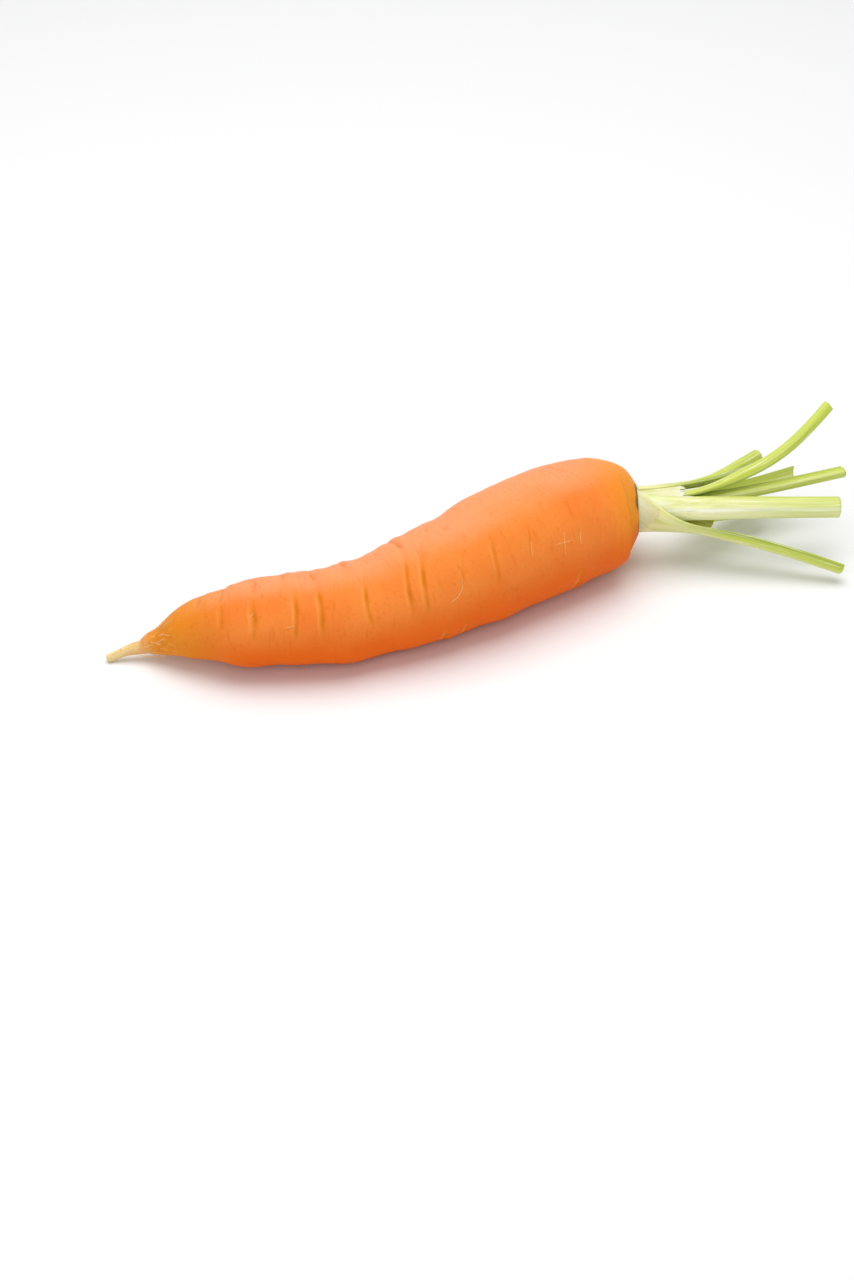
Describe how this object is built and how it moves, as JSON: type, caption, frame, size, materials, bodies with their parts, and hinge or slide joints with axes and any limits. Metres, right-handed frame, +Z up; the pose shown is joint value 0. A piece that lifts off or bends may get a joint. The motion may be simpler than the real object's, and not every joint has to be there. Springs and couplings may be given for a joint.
{
  "type": "carrot",
  "caption": "Fresh carrot lying on its side: a bent, creased taproot tapering to a thin tail, with a bundle of trimmed leaf stalks at the crown.",
  "frame": {"origin": "the middle of the small flat spot under the root's weight, on the surface that the carrot lies on", "axes": "+Z up, away from the surface; +X along the root from the thin tail towards the crown and leaf stalks; +Y completes a right-handed frame, on the side that the tip bends to"},
  "size_m": [0.23, 0.0574, 0.041],
  "materials": {
    "carrot_skin": "washed orange root skin, satin, with fine cross creases and pale rootlet scars",
    "green_stalk": "yellow-green leaf stalk, satin, faintly ribbed, fading to cream where it joins the crown",
    "cream_stalk": "cream-white leaf stalk and sheath with pale lengthwise ribs, satin"
  },
  "bodies": {
    "root": {"taproot": "carrot_skin", "leaf_stalk_1": "green_stalk", "leaf_stalk_2": "green_stalk", "leaf_stalk_3": "cream_stalk", "leaf_stalk_4": "green_stalk", "leaf_stalk_5": "green_stalk", "leaf_stalk_6": "green_stalk", "leaf_stalk_7": "green_stalk", "leaf_stalk_8": "green_stalk", "leaf_stalk_9": "green_stalk"}
  },
  "joints": []
}
